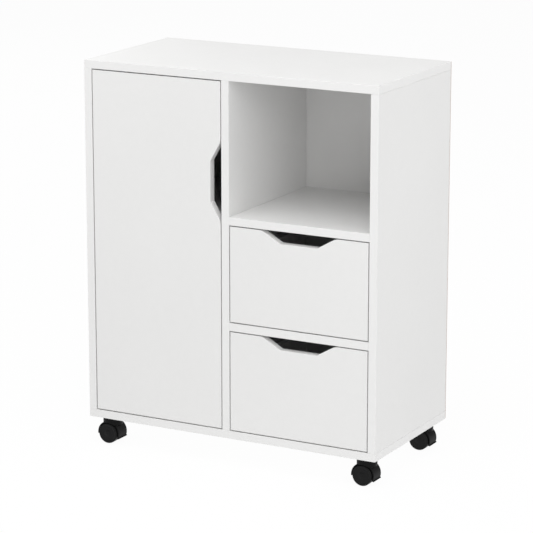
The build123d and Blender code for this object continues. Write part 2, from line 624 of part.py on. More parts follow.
def drawer_box(name, bay_floor, bay_top):
    """A drawer's front, sides, back and bottom, with the fittings that hold them."""
    front_mid = (PARTITION_RIGHT + INNER_RIGHT) / 2
    front_high = bay_top - FRONT_GAP
    add(name + "_front",
        notched_front(PARTITION_RIGHT + FRONT_GAP, INNER_RIGHT - FRONT_GAP,
                      bay_floor + FRONT_GAP, front_high, (1, 0, 0), (0, 0, -1),
                      (front_mid, FRONT, front_high)))
    low = bay_floor + DRAWER_RISE
    high = low + DRAWER_SIDE_HEIGHT
    outer_left = PARTITION_RIGHT + RUNNER_SPACE
    outer_right = INNER_RIGHT - RUNNER_SPACE
    left_in = outer_left + DRAWER_BOARD
    right_in = outer_right - DRAWER_BOARD
    back_front = DRAWER_BACK - DRAWER_BOARD
    add(name + "_left_side",
        soft_board(outer_left, left_in, DOOR_BACK, DRAWER_BACK, low, high))
    add(name + "_right_side",
        soft_board(right_in, outer_right, DOOR_BACK, DRAWER_BACK, low, high))
    add(name + "_back", soft_board(left_in, right_in, back_front, DRAWER_BACK, low, high))

    deep = GROOVE_DEPTH - GROOVE_END_PLAY
    bottom_low = low + GROOVE_HEIGHT
    bottom_high = bottom_low + DRAWER_BOTTOM
    add(name + "_bottom",
        block(left_in - deep, right_in + deep, DOOR_BACK - deep, back_front + deep,
              bottom_low, bottom_high))
    groove = block(left_in - GROOVE_DEPTH, right_in + GROOVE_DEPTH, DOOR_BACK - GROOVE_DEPTH,
                   back_front + GROOVE_DEPTH, bottom_low - GROOVE_PLAY,
                   bottom_high + GROOVE_PLAY)
    for part in ("_front", "_left_side", "_right_side", "_back"):
        cut(name + part, groove)

    fittings = name + "_fittings"
    size = (DRAWER_CAM_RADIUS, DRAWER_CAM_DEPTH, DRAWER_CAM_REACH)
    half = DRAWER_BOARD / 2
    for side_node, x, outer, inward in ((name + "_left_side", outer_left + half, outer_left, 1),
                                        (name + "_right_side", outer_right - half,
                                         outer_right, -1)):
        for height in DRAWER_FITTING_HEIGHTS:
            z = low + height
            cam_fitting(side_node, name + "_front", (x, DOOR_BACK, z), (0, 1, 0),
                        (inward, 0, 0), DRAWER_BOARD, size, (fittings, fittings))
            long_screw(fittings, side_node, name + "_back",
                       (outer, DRAWER_BACK - half, z), (inward, 0, 0))
        for y in (DOOR_BACK + RUNNER_FRONT_SCREW, DRAWER_BACK - RUNNER_REAR_SCREW):
            small_screw(fittings, side_node, (x, y, low - SHEET), (0, 0, 1),
                        name + "_runners")


def runner_side(wall, inward, low, name):
    """One rail on the bay's wall, one runner under the drawer side, and their two rollers.

    wall is the bay's wall, inward is the sign of X from the wall into the bay, and low is the
    lower edge of the drawer side.
    """
    def across(d0, d1, y0, y1, z0, z1):
        a, b = wall + inward * d0, wall + inward * d1
        return block(min(a, b), max(a, b), y0, y1, z0, z1)

    lip_under = low + LIP_ABOVE_SIDE
    track = lip_under - TRACK_HEIGHT
    rail_top = lip_under + SHEET + RAIL_TOP_PLAY
    front_axis = lip_under - ROLLING_GAP - ROLLER_RADIUS
    rear_axis = track + ROLLING_GAP + ROLLER_RADIUS
    web = RUNNER_SPACE - SHEET
    stud_end = ROLLER_WALL_GAP + ROLLER_WIDTH + STUD_END_PLAY

    # the bend between the web and the flanges of the rail, and of the runner, stays sharp
    rail = across(0, SHEET, RAIL_FRONT, RAIL_REAR, track - SHEET, rail_top + SHEET)
    rail += across(0, RAIL_FLANGE, RAIL_FRONT, RAIL_REAR, track - SHEET, track)
    rail += across(0, RAIL_TOP_FLANGE, RAIL_FRONT, RAIL_REAR, rail_top, rail_top + SHEET)
    # the stop's rear edge touches the rear roller at the end of the drawer's travel
    touch = math.sqrt(ROLLER_RADIUS ** 2 - (ROLLER_RADIUS + ROLLING_GAP - STOP_HEIGHT) ** 2)
    stop = REAR_ROLLER_Y - DRAWER_TRAVEL - touch - ROLLING_GAP
    rail += across(SHEET, RAIL_FLANGE, stop - SHEET, stop, track, track + STOP_HEIGHT)
    stud = (wall + inward * SHEET, FRONT_ROLLER_Y, front_axis)
    rail += rod(stud, (inward, 0, 0), stud_end - SHEET, STUD_RADIUS)
    rail += rod((wall + inward * stud_end, FRONT_ROLLER_Y, front_axis), (inward, 0, 0),
                STUD_HEAD, STUD_HEAD_RADIUS)
    rail += rod(stud, (inward, 0, 0), ROLLER_WALL_GAP - SHEET - STUD_END_PLAY,
                STUD_HEAD_RADIUS)
    add("cabinet_rails", rail)
    board = "centre_partition" if inward > 0 else "right_side_panel"
    # the end screws go between the cam bolt and the dowel of the board's own end
    first = FRONT + FITTING_INSET + DOWEL_SPACING / 2
    last = BOARD_BACK - FITTING_INSET - DOWEL_SPACING / 2
    for y in (first, (first + last) / 2, last):
        seat = (wall + inward * SHEET, y, (lip_under + track) / 2)
        small_screw("mounting_screws", board, seat, (-inward, 0, 0), "cabinet_rails")

    runner = across(web, RUNNER_SPACE, DOOR_BACK, DRAWER_BACK, low - SHEET, lip_under + SHEET)
    runner += across(web, RUNNER_SPACE + DRAWER_BOARD, DOOR_BACK, DRAWER_BACK,
                     low - SHEET, low)
    runner += across(web - LIP_WIDTH, web, DOOR_BACK, DRAWER_BACK, lip_under,
                     lip_under + SHEET)
    ear = rod((wall + inward * web, REAR_ROLLER_Y, rear_axis), (inward, 0, 0), SHEET,
              EAR_RADIUS)
    runner += ear
    outward = (-inward, 0, 0)
    stud = (wall + inward * web, REAR_ROLLER_Y, rear_axis)
    runner += rod(stud, outward, web - ROLLER_WALL_GAP + STUD_END_PLAY, STUD_RADIUS)
    runner += rod((wall + inward * (ROLLER_WALL_GAP - STUD_END_PLAY), REAR_ROLLER_Y, rear_axis),
                  outward, RIVET_HEAD, RIVET_HEAD_RADIUS)
    runner += rod(stud, outward, web - ROLLER_WALL_GAP - ROLLER_WIDTH - STUD_END_PLAY,
                  STUD_HEAD_RADIUS)
    add(name + "_runners", runner)

    for node, y, z in ((name + "_front_rollers", FRONT_ROLLER_Y, front_axis),
                       (name + "_rear_rollers", REAR_ROLLER_Y, rear_axis)):
        start = (wall + inward * ROLLER_WALL_GAP, y, z)
        roller = rod(start, (inward, 0, 0), ROLLER_WIDTH, ROLLER_RADIUS)
        roller = chamfer(roller.edges(), ROLLER_CHAMFER)
        add(node, roller - rod(start, (inward, 0, 0), ROLLER_WIDTH,
                               STUD_RADIUS + ROLLER_BORE_PLAY))


def drawer(name, bay_floor, bay_top):
    drawer_box(name, bay_floor, bay_top)
    low = bay_floor + DRAWER_RISE
    runner_side(PARTITION_RIGHT, 1, low, name)
    runner_side(INNER_RIGHT, -1, low, name)


# ---------------------------------------------------------------- casters

def caster_hood(x, y):
    """The moulded hood: swivel boss, web between the wheels and curved cover over them."""
    axle = (x - CASTER_TRAIL, y, AXLE_Z)
    over = HOOD_WIDTH / 2
    cover = rod((axle[0], y - over, AXLE_Z), (0, 1, 0), HOOD_WIDTH, HOOD_OUTER)
    web = rod((axle[0], y - WEB_THICKNESS / 2, AXLE_Z), (0, 1, 0), WEB_THICKNESS, HOOD_OUTER)
    inside = rod((axle[0], y - over, AXLE_Z), (0, 1, 0), HOOD_WIDTH, HOOD_INNER)
    cover -= inside
    # the cover ends a little below the axle on the left and lower on the right
    reach = 2 * HOOD_OUTER
    left_drop = reach * math.tan(math.radians(HOOD_LEAD_ANGLE))
    right_drop = reach * math.tan(math.radians(HOOD_REAR_ANGLE))
    keep = Polyline((-reach, 0, -left_drop), (0, 0, 0), (reach, 0, -right_drop),
                    (reach, 0, reach), (-reach, 0, reach), close=True)
    sector = Pos(axle[0], y, AXLE_Z) * extrude(make_face(keep), amount=over, both=True)
    cover &= sector
    # flared lip along the right end
    rear = Plane(origin=axle, x_dir=(1, 0, 0), z_dir=(0, 1, 0)).location
    lip = rear * Rot(0, 0, HOOD_REAR_ANGLE) * Pos(HOOD_OUTER - HOOD_THICKNESS / 2, -HOOD_LIP / 2, 0)
    lip = lip * Box(HOOD_THICKNESS + HOOD_LIP, HOOD_LIP, HOOD_WIDTH)
    cover += Pos(HOOD_LIP / 2, 0, 0) * lip
    web &= block(axle[0] - reach, axle[0] + reach, y - over, y + over,
                 AXLE_Z - WEB_DROP, AXLE_Z + reach)
    boss_low = BOSS_TOP - BOSS_HEIGHT
    boss = rod((x, y, boss_low), (0, 0, 1), BOSS_HEIGHT, BOSS_RADIUS)
    boss = chamfer(boss.edges().sort_by(Axis.Z)[-1], BOSS_CHAMFER)
    for side in (-1, 1):
        start = (axle[0], y + side * WEB_THICKNESS / 2, AXLE_Z)
        boss -= rod(start, (0, side, 0), BOSS_RADIUS, HOOD_INNER)
    hood = web + cover + boss
    hood -= rod((x, y, PLATE_UNDER - KINGPIN_LENGTH), (0, 0, 1), KINGPIN_LENGTH,
                KINGPIN_RADIUS + AXLE_PLAY)
    hood -= rod((axle[0], y - over, AXLE_Z), (0, 1, 0), HOOD_WIDTH, AXLE_RADIUS + AXLE_SEAT_PLAY)
    return hood


def wheel(axle, side):
    """One wheel: rim, outer disc and hub in one moulding, hollow towards the hood's web."""
    inner = WEB_THICKNESS / 2 + WHEEL_GAP
    outer = WHEEL_SPAN / 2
    wide = outer - inner
    start = along(axle, (0, side, 0), inner)
    tyre = rod(start, (0, side, 0), wide, WHEEL_RADIUS)
    tyre = fillet(tyre.edges(), WHEEL_ROUNDING)
    hollow = rod(start, (0, side, 0), wide - WHEEL_DISC, WHEEL_RADIUS - WHEEL_RIM)
    hollow -= rod(start, (0, side, 0), wide - WHEEL_DISC, HUB_RADIUS)
    dish = rod(along(axle, (0, side, 0), outer - WHEEL_DISH), (0, side, 0), WHEEL_DISH,
               WHEEL_DISH_RADIUS)
    bore = rod(start, (0, side, 0), AXLE_LENGTH / 2 - inner + AXLE_END_PLAY,
               AXLE_RADIUS + AXLE_PLAY)
    return tyre - hollow - dish - bore


def caster(place, x, y):
    plate = Pos(x, y, PLATE_UNDER) * extrude(
        RectangleRounded(PLATE_SIZE, PLATE_SIZE, PLATE_CORNER_RADIUS), amount=PLATE_THICKNESS)
    plate -= rod((x, y, PLATE_UNDER), (0, 0, 1), PLATE_THICKNESS, KINGPIN_RADIUS + FITTING_PLAY)
    add("caster_plates", plate)
    half = PLATE_HOLE_SPACING / 2
    for dx in (-half, half):
        for dy in (-half, half):
            small_screw("mounting_screws", "bottom_panel", (x + dx, y + dy, PLATE_UNDER),
                        (0, 0, 1), "caster_plates")
    pin = rod((x, y, BASE), (0, 0, -1), PLATE_THICKNESS + KINGPIN_LENGTH, KINGPIN_RADIUS)
    add("kingpins", chamfer(pin.edges().sort_by(Axis.Z)[0], KINGPIN_CHAMFER))
    axle = (x - CASTER_TRAIL, y, AXLE_Z)
    add(place + "_caster_hood", caster_hood(x, y))
    add(place + "_caster_axle",
        rod(along(axle, (0, 1, 0), -AXLE_LENGTH / 2), (0, 1, 0), AXLE_LENGTH, AXLE_RADIUS))
    add(place + "_caster_outer_wheel", wheel(axle, -1))
    add(place + "_caster_inner_wheel", wheel(axle, 1))


# ---------------------------------------------------------------- the whole

def finish(node):
    """The node's solids with their holes cut."""
    tools = holes.get(node, [])
    done = []
    for piece in pieces[node]:
        box = piece.bounding_box()
        near = [t for t in tools if box.overlaps(t.bounding_box())]
        if near:
            piece = piece - near
        done.extend(piece.solids())
    return done[0] if len(done) == 1 else Compound(children=done)


def main():
    carcass_boards()
    carcass_joints()
    back_nails()
    inner_shelf()
    door_panel()
    for z in HINGE_HEIGHTS:
        hinge_cup(z)
        hinge_arm(z)
    magnetic_catch()
    drawer("upper_drawer", DIVIDER_TOP, SHELF_UNDER)
    drawer("lower_drawer", FLOOR, DIVIDER_UNDER)
    for place, (x, y) in CASTERS.items():
        caster(place, x, y)
    os.makedirs("parts", exist_ok=True)
    for node in pieces:
        export_step(finish(node), f"parts/{node}.step")


main()
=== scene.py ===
import math

import bmesh
import bpy
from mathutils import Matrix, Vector


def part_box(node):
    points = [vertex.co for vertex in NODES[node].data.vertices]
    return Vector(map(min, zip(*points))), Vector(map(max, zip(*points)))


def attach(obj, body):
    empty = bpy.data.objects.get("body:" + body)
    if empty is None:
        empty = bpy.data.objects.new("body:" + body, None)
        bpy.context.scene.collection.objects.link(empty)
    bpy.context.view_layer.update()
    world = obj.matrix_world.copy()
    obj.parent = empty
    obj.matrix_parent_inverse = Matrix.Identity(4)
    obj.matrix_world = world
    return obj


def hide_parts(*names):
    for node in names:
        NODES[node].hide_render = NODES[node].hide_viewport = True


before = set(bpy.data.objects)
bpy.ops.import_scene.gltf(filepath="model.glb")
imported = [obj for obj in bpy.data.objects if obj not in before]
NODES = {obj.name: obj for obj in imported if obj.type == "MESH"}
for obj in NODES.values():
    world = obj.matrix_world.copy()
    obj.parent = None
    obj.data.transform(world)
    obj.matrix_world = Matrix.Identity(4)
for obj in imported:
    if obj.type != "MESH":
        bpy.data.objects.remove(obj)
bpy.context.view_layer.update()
MM = 0.001
X_AXIS, Y_AXIS, Z_AXIS = range(3)

# ---------------------------------------------------------------- camera

SENSOR_WIDTH = 36
LENS = 175.6
CAMERA_PLACE = (2.194, -4.075, 1.478)
CAMERA_DOWN = 13.8           # degrees that it looks down
CAMERA_LEFT = 28.325         # degrees that it looks to the left of +Y

camera = bpy.data.objects.new("camera", bpy.data.cameras.new("camera"))
bpy.context.scene.collection.objects.link(camera)
camera.data.sensor_width = SENSOR_WIDTH
camera.data.lens = LENS
camera.location = CAMERA_PLACE
camera.rotation_euler = (math.radians(90 - CAMERA_DOWN), 0, math.radians(CAMERA_LEFT))
bpy.context.scene.camera = camera


# ---------------------------------------------------------------- shader helpers

NOISE_LOW, NOISE_HIGH = 0.3, 0.7             # nearly all of a noise texture lies between these
MIX_A, MIX_B, MIX_RESULT = 6, 7, 2           # a Mix node's colour sockets


class Shader:
    """A material and short calls that add nodes to it. Places and normals are the object's own."""

    def __init__(self, name, **constants):
        self.material = bpy.data.materials.new(name)
        self.material.use_nodes = True
        self.tree = self.material.node_tree
        self.bsdf = self.tree.nodes["Principled BSDF"]
        coordinates = self.tree.nodes.new("ShaderNodeTexCoord")
        self.place = coordinates.outputs["Object"]
        self.normal = coordinates.outputs["Normal"]
        for socket, value in constants.items():
            self.bsdf.inputs[socket.replace("_", " ")].default_value = value

    def put(self, socket, value):
        if isinstance(value, bpy.types.NodeSocket):
            self.tree.links.new(value, socket)
        else:
            socket.default_value = value

    def set(self, name, value):
        self.put(self.bsdf.inputs[name], value)

    def math(self, operation, a, b=0.0):
        node = self.tree.nodes.new("ShaderNodeMath")
        node.operation = operation
        self.put(node.inputs[0], a)
        self.put(node.inputs[1], b)
        return node.outputs[0]

    def add(self, a, b):
        return self.math("ADD", a, b)

    def subtract(self, a, b):
        return self.math("SUBTRACT", a, b)

    def times(self, a, b):
        return self.math("MULTIPLY", a, b)

    def remap(self, value, low, high, to_low=0.0, to_high=1.0):
        node = self.tree.nodes.new("ShaderNodeMapRange")
        for socket, given in zip(node.inputs, (value, low, high, to_low, to_high)):
            self.put(socket, given)
        return node.outputs[0]

    def spread(self, noise, to_low=0.0, to_high=1.0):
        """A noise texture's value stretched over a range."""
        return self.remap(noise, NOISE_LOW, NOISE_HIGH, to_low, to_high)

    def split(self, vector):
        node = self.tree.nodes.new("ShaderNodeSeparateXYZ")
        self.put(node.inputs[0], vector)
        return node.outputs

    def stretched(self, scale):
        node = self.tree.nodes.new("ShaderNodeMapping")
        self.put(node.inputs["Vector"], self.place)
        node.inputs["Scale"].default_value = scale
        return node.outputs[0]

    def noise(self, scale, detail, rough=0.5, vector=None):
        node = self.tree.nodes.new("ShaderNodeTexNoise")
        self.put(node.inputs["Vector"], vector or self.place)
        node.inputs["Scale"].default_value = scale
        node.inputs["Detail"].default_value = detail
        node.inputs["Roughness"].default_value = rough
        return node.outputs[0]

    def cells(self, scale, output):
        node = self.tree.nodes.new("ShaderNodeTexVoronoi")
        self.put(node.inputs["Vector"], self.place)
        node.inputs["Scale"].default_value = scale
        return node.outputs[output]

    def mix(self, factor, a, b, blend="MIX"):
        node = self.tree.nodes.new("ShaderNodeMix")
        node.data_type = "RGBA"
        node.blend_type = blend
        self.put(node.inputs["Factor"], factor)
        self.put(node.inputs[MIX_A], a)
        self.put(node.inputs[MIX_B], b)
        return node.outputs[MIX_RESULT]

    def shade(self, colour, amount):
        """A colour times a number."""
        grey = self.tree.nodes.new("ShaderNodeCombineXYZ")
        for socket in grey.inputs:
            self.put(socket, amount)
        return self.mix(1.0, colour, grey.outputs[0], "MULTIPLY")

    def bump(self, height, distance, strength, under=None):
        node = self.tree.nodes.new("ShaderNodeBump")
        self.put(node.inputs["Height"], height)
        node.inputs["Distance"].default_value = distance
        node.inputs["Strength"].default_value = strength
        if under:
            self.put(node.inputs["Normal"], under)
        return node.outputs[0]


def rgb(red, green, blue):
    return (red, green, blue, 1.0)


# ---------------------------------------------------------------- board materials

MELAMINE = rgb(0.770, 0.768, 0.762)
EDGE_BAND = rgb(0.785, 0.783, 0.778)
GLUE_LINE = rgb(0.52, 0.50, 0.46)
RAW_CHIP_LIGHT = rgb(0.58, 0.42, 0.26)
RAW_CHIP_DARK = rgb(0.30, 0.19, 0.10)
LACQUER = rgb(0.775, 0.772, 0.765)
HARDBOARD_LIGHT = rgb(0.36, 0.22, 0.125)
HARDBOARD_DARK = rgb(0.22, 0.125, 0.065)
BAND_THICKNESS = 1.0 * MM
GLUE_WIDTH = 0.12 * MM
GLUE_STRENGTH = 0.55
CHIPS = 420                  # chips to the metre
SCREEN = 650                 # dimples to the metre on the raw face of hardboard
SKIN = 0.75 * MM             # deeper than this inside its box, a board shows its raw core
NOTCH_REACH = 25.0 * MM      # the notch's faces are banded too, so the core starts below them


def from_edge(shader, coordinate, low, high):
    """Distance in from the nearer of two bounds."""
    off_centre = shader.math("ABSOLUTE", shader.subtract(coordinate, (low + high) / 2))
    return shader.subtract((high - low) / 2, off_centre)


def board(node, notched=None):
    """Coated particle board with banded edges. notched is the axis whose high end has the notch."""
    low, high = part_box(node)
    size = high - low
    thin = min(range(3), key=lambda axis: size[axis])
    flat = [axis for axis in range(3) if axis != thin]
    s = Shader("melamine_" + node, IOR=1.5, Specular_IOR_Level=0.42)
    place, normal = s.split(s.place), s.split(s.normal)
    inward = [from_edge(s, place[axis], low[axis], high[axis]) for axis in range(3)]
    edge = s.math("MINIMUM", inward[flat[0]], inward[flat[1]])
    # the band is the whole edge, and a thin line of it along each face
    along = s.remap(edge, BAND_THICKNESS - GLUE_WIDTH / 2, BAND_THICKNESS + GLUE_WIDTH / 2, 1, 0)
    side = s.remap(s.math("ABSOLUTE", normal[thin]), 0.3, 0.6, 1, 0)
    band = s.math("MAXIMUM", along, side)
    off_line = s.math("ABSOLUTE", s.subtract(edge, BAND_THICKNESS))
    glue = s.times(s.remap(off_line, 0, GLUE_WIDTH, GLUE_STRENGTH, 0), s.subtract(1, side))
    # raw core in the bores
    deep = s.math("MINIMUM", edge, inward[thin])
    core = s.math("GREATER_THAN", deep, SKIN)
    if notched is not None:
        below = s.math("GREATER_THAN", s.subtract(high[notched], place[notched]), NOTCH_REACH)
        core = s.times(core, below)
    tone = s.spread(s.noise(2.3, 3), 0.985, 1.012)
    mottle = s.spread(s.noise(90, 3, 0.6), 0.994, 1.006)
    colour = s.mix(band, MELAMINE, EDGE_BAND)
    colour = s.mix(glue, colour, GLUE_LINE)
    colour = s.shade(colour, s.times(tone, mottle))
    chips = s.mix(s.remap(s.cells(CHIPS, "Distance"), 0, 0.6), RAW_CHIP_DARK, RAW_CHIP_LIGHT)
    s.set("Base Color", s.mix(core, colour, chips))
    # pearl finish on the faces, smoother on the band
    smears = s.spread(s.noise(14, 4, 0.55), 0.40, 0.47)
    gloss = s.subtract(smears, s.times(band, 0.05))
    s.set("Roughness", s.add(gloss, s.times(core, 0.45)))
    pearl = s.add(s.noise(1500, 1), s.times(s.noise(340, 2), 1.6))
    skin = s.bump(pearl, 0.035 * MM, 0.35)
    step = s.bump(s.times(glue, -1), 0.05 * MM, 0.6, skin)
    s.set("Normal", s.bump(s.times(s.cells(CHIPS, "Distance"), core), 0.5 * MM, 0.8, step))
    return s.material


def backing(node, axis, sign):
    """Thin hardboard with one white face, whose normal has that axis and sign."""
    s = Shader("hardboard_" + node, Specular_IOR_Level=0.4)
    normal = s.split(s.normal)
    white = s.math("GREATER_THAN", s.times(normal[axis], sign), 0.5)
    fibre = s.noise(260, 6, 0.72)
    clumps = s.noise(22, 4, 0.6)
    brown = s.mix(s.remap(fibre, 0.32, 0.68), HARDBOARD_DARK, HARDBOARD_LIGHT)
    brown = s.mix(s.remap(clumps, 0.35, 0.7, 0, 0.45), brown, HARDBOARD_LIGHT)
    lacquer = s.shade(LACQUER, s.spread(s.noise(5, 3), 0.985, 1.01))
    s.set("Base Color", s.mix(white, brown, lacquer))
    s.set("Roughness", s.add(s.remap(white, 0, 1, 0.78, 0.44),
                             s.spread(s.noise(40, 3), -0.04, 0.04)))
    # screen pattern pressed into the raw face
    screen = s.times(s.cells(SCREEN, "Distance"), s.subtract(1, white))
    s.set("Normal", s.bump(screen, 0.22 * MM, 0.7, s.bump(s.noise(700, 2), 0.03 * MM, 0.5)))
    return s.material


# ---------------------------------------------------------------- metal, nylon, wood

BRIGHT_ZINC = rgb(0.66, 0.67, 0.68)
DULL_ZINC = rgb(0.48, 0.48, 0.47)
RAIL_WHITE = rgb(0.76, 0.76, 0.75)
NYLON_LIGHT, NYLON_DARK = rgb(0.80, 0.79, 0.755), rgb(0.74, 0.725, 0.68)
BEECH_LIGHT, BEECH_DARK = rgb(0.66, 0.48, 0.31), rgb(0.50, 0.33, 0.19)
BEECH_FLECK = rgb(0.28, 0.15, 0.075)
FERRITE_LIGHT, FERRITE_DARK = rgb(0.105, 0.105, 0.11), rgb(0.055, 0.055, 0.058)
FERRITE_CHIP = rgb(0.16, 0.16, 0.165)


def zinc(name, tint, rough, spangle):
    """Zinc-plated steel: fine crystal spangle, drawing marks and a few duller patches."""
    s = Shader(name, Metallic=1.0)
    crystal = s.split(s.cells(900, "Color"))[0]
    patches = s.noise(160, 3, 0.6)
    tone = s.add(s.remap(crystal, 0, 1, 1 - spangle, 1 + spangle / 2),
                 s.spread(patches, -0.04, 0.04))
    s.set("Base Color", s.shade(tint, tone))
    s.set("Roughness", s.add(s.spread(patches, rough - 0.06, rough + 0.08),
                             s.remap(crystal, 0, 1, -0.03, 0.03)))
    lines = s.noise(1.0, 3, 0.6, s.stretched((400, 400, 4200)))
    s.set("Normal", s.bump(lines, 0.02 * MM, 0.5))
    return s.material


def powder_coat(name, colour, rough):
    """Baked powder paint: orange peel, and tiny specks."""
    s = Shader(name, Specular_IOR_Level=0.5, Coat_Weight=0.15, Coat_Roughness=0.2)
    specks = s.spread(s.noise(2200, 1), 0.97, 1.02)
    s.set("Base Color", s.shade(colour, specks))
    s.set("Roughness", s.spread(s.noise(120, 3), rough - 0.05, rough + 0.06))
    peel = s.add(s.noise(900, 2), s.times(s.noise(2400, 1), 0.4))
    s.set("Normal", s.bump(peel, 0.06 * MM, 0.6))
    return s.material


def white_nylon():
    """Slightly cloudy nylon that lets a little light in."""
    s = Shader("white_nylon", Specular_IOR_Level=0.45, Subsurface_Weight=0.15,
               Subsurface_Scale=1.2 * MM)
    s.bsdf.inputs["Subsurface Radius"].default_value = (1.0, 0.9, 0.75)
    cloud = s.spread(s.noise(210, 3))
    s.set("Base Color", s.mix(cloud, NYLON_DARK, NYLON_LIGHT))
    s.set("Roughness", s.spread(s.noise(500, 2), 0.34, 0.46))
    s.set("Normal", s.bump(s.noise(1800, 2), 0.02 * MM, 0.6))
    return s.material


def beech():
    """Beech: pale pink-brown with short darker flecks."""
    s = Shader("beech", Specular_IOR_Level=0.35)
    grain = s.noise(1.0, 4, 0.6, s.stretched((180, 180, 900)))
    flecks = s.remap(s.noise(1.0, 2, 0.7, s.stretched((1400, 1400, 420))), 0.60, 0.68)
    wood = s.mix(s.spread(grain), BEECH_DARK, BEECH_LIGHT)
    s.set("Base Color", s.mix(s.times(flecks, 0.6), wood, BEECH_FLECK))
    s.set("Roughness", s.spread(grain, 0.55, 0.68))
    s.set("Normal", s.bump(grain, 0.08 * MM, 0.6))
    return s.material


def ferrite():
    """Sintered magnet: dark grey grain with a few lighter chips."""
    s = Shader("magnet_grey", Metallic=0.35, Specular_IOR_Level=0.5)
    grain = s.noise(1300, 3, 0.7)
    chips = s.remap(s.cells(240, "Distance"), 0, 0.12, 1, 0)
    dark = s.mix(s.spread(grain), FERRITE_DARK, FERRITE_LIGHT)
    s.set("Base Color", s.mix(s.times(chips, 0.5), dark, FERRITE_CHIP))
    s.set("Roughness", s.spread(grain, 0.42, 0.6))
    s.set("Normal", s.bump(grain, 0.05 * MM, 0.7))
    return s.material


# ---------------------------------------------------------------- caster materials

PLATE_BLACK, PLATE_RUBBED = rgb(0.009, 0.009, 0.009), rgb(0.028, 0.028, 0.029)
HOOD_DARK, HOOD_LIGHT = rgb(0.0040, 0.0040, 0.0042), rgb(0.0066, 0.0066, 0.0068)
HOOD_SCUFF = rgb(0.020, 0.020, 0.021)
WHEEL_DARK, WHEEL_LIGHT = rgb(0.0050, 0.0050, 0.0052), rgb(0.0080, 0.0080, 0.0083)
WHEEL_DUST = rgb(0.026, 0.0255, 0.025)
WHEEL_RADIUS = 19.0          # millimetres, as is the rest of the wheel's section
WHEEL_R = WHEEL_RADIUS * MM
TREAD_DUST_FROM = 18.2 * MM
RING_SPACING = 0.55 * MM     # between the turned rings on the wheel's disc


def black_plate():
    """Black e-coated steel, rubbed a little lighter in patches."""
    s = Shader("black_plate", Specular_IOR_Level=0.15)
    rub = s.remap(s.noise(110, 4, 0.65), 0.52, 0.72)
    s.set("Base Color", s.mix(s.times(rub, 0.5), PLATE_BLACK, PLATE_RUBBED))
    s.set("Roughness", s.spread(s.noise(260, 3), 0.38, 0.52))
    s.set("Normal", s.bump(s.noise(1500, 2), 0.03 * MM, 0.6))
    return s.material


def hood_nylon():
    """Moulded black nylon with spark-eroded grain, scuffed lighter here and there."""
    s = Shader("black_nylon", Specular_IOR_Level=0.10)
    grain = s.noise(1700, 2, 0.6)
    flow = s.noise(60, 3, 0.55)
    base = s.mix(s.spread(flow), HOOD_DARK, HOOD_LIGHT)
    scuff = s.times(s.remap(s.noise(420, 4, 0.7), 0.60, 0.72), 0.35)
    s.set("Base Color", s.mix(scuff, base, HOOD_SCUFF))
    s.set("Roughness", s.add(s.spread(flow, 0.42, 0.52), s.spread(grain, -0.04, 0.04)))
    s.set("Normal", s.bump(grain, 0.05 * MM, 0.55))
    return s.material


def wheel_nylon():
    """Black wheel: satin disc with faint turned rings, and a duller tread with a little dust."""
    s = Shader("black_wheel", Specular_IOR_Level=0.14)
    x, _, z = s.split(s.place)
    radius = s.math("SQRT", s.add(s.times(x, x), s.times(z, z)))
    across = s.math("ABSOLUTE", s.split(s.normal)[Y_AXIS])
    tread = s.remap(across, 0.35, 0.75, 1, 0)
    rings = s.math("SINE", s.times(radius, 2 * math.pi / RING_SPACING))
    rings = s.times(rings, s.subtract(1, tread))
    flow = s.noise(90, 3, 0.6)
    base = s.mix(s.spread(flow), WHEEL_DARK, WHEEL_LIGHT)
    dust = s.times(s.remap(radius, TREAD_DUST_FROM, WHEEL_R),
                   s.remap(s.noise(700, 4, 0.7), 0.50, 0.72, 0, 0.45))
    s.set("Base Color", s.mix(dust, base, WHEEL_DUST))
    s.set("Roughness", s.add(s.remap(tread, 0, 1, 0.36, 0.56), s.spread(flow, -0.05, 0.05)))
    fine = s.bump(s.noise(1900, 2), 0.03 * MM, 0.5)
    s.set("Normal", s.bump(rings, 0.012 * MM, 0.5, fine))
    return s.material


# ---------------------------------------------------------------- mesh helpers

SHARP_ANGLE = math.radians(32)


def linked(name, data):
    made = bpy.data.objects.new(name, data)
    bpy.context.scene.collection.objects.link(made)
    return made


def to_object(mesh, name, material):
    data = bpy.data.meshes.new(name)
    mesh.to_mesh(data)
    mesh.free()
    data.shade_smooth()
    data.set_sharp_from_angle(angle=SHARP_ANGLE)
    data.materials.append(material)
    return linked(name, data)


def baked(piece):
    """The piece's mesh with its modifiers applied. The piece itself is removed."""
    view = bpy.context.evaluated_depsgraph_get()
    data = bpy.data.meshes.new_from_object(piece.evaluated_get(view))
    bpy.data.objects.remove(piece)
    return data


# ---------------------------------------------------------------- caster wheels

WHEEL_WIDTH = 12.6
HUB_BORE = 2.57
BORE_DEPTH = 11.0
INNER_ROUND = 1.2                 # the tread's edge at the inner face
OUTER_ROUND = 1.6                 # and at the disc
WHEEL_SEGMENTS = 112
RIBS = 6
RIB_THICKNESS = 1.4
RIB_FROM, RIB_TO = 5.7, 16.7      # radii that a rib joins
RIB_LOW, RIB_HIGH = 2.2, 10.2     # its reach across the wheel, from the inner face
BOX_FACES = ((0, 1, 3, 2), (4, 6, 7, 5), (0, 4, 5, 1), (2, 3, 7, 6), (0, 2, 6, 4), (1, 5, 7, 3))


def arc(centre, radius, start, end, steps):
    """Points of an arc in the wheel's section, as (radius, across)."""
    points = []
    for k in range(steps + 1):
        a = math.radians(start + (end - start) * k / steps)
        points.append((centre[0] + radius * math.cos(a), centre[1] + radius * math.sin(a)))
    return points


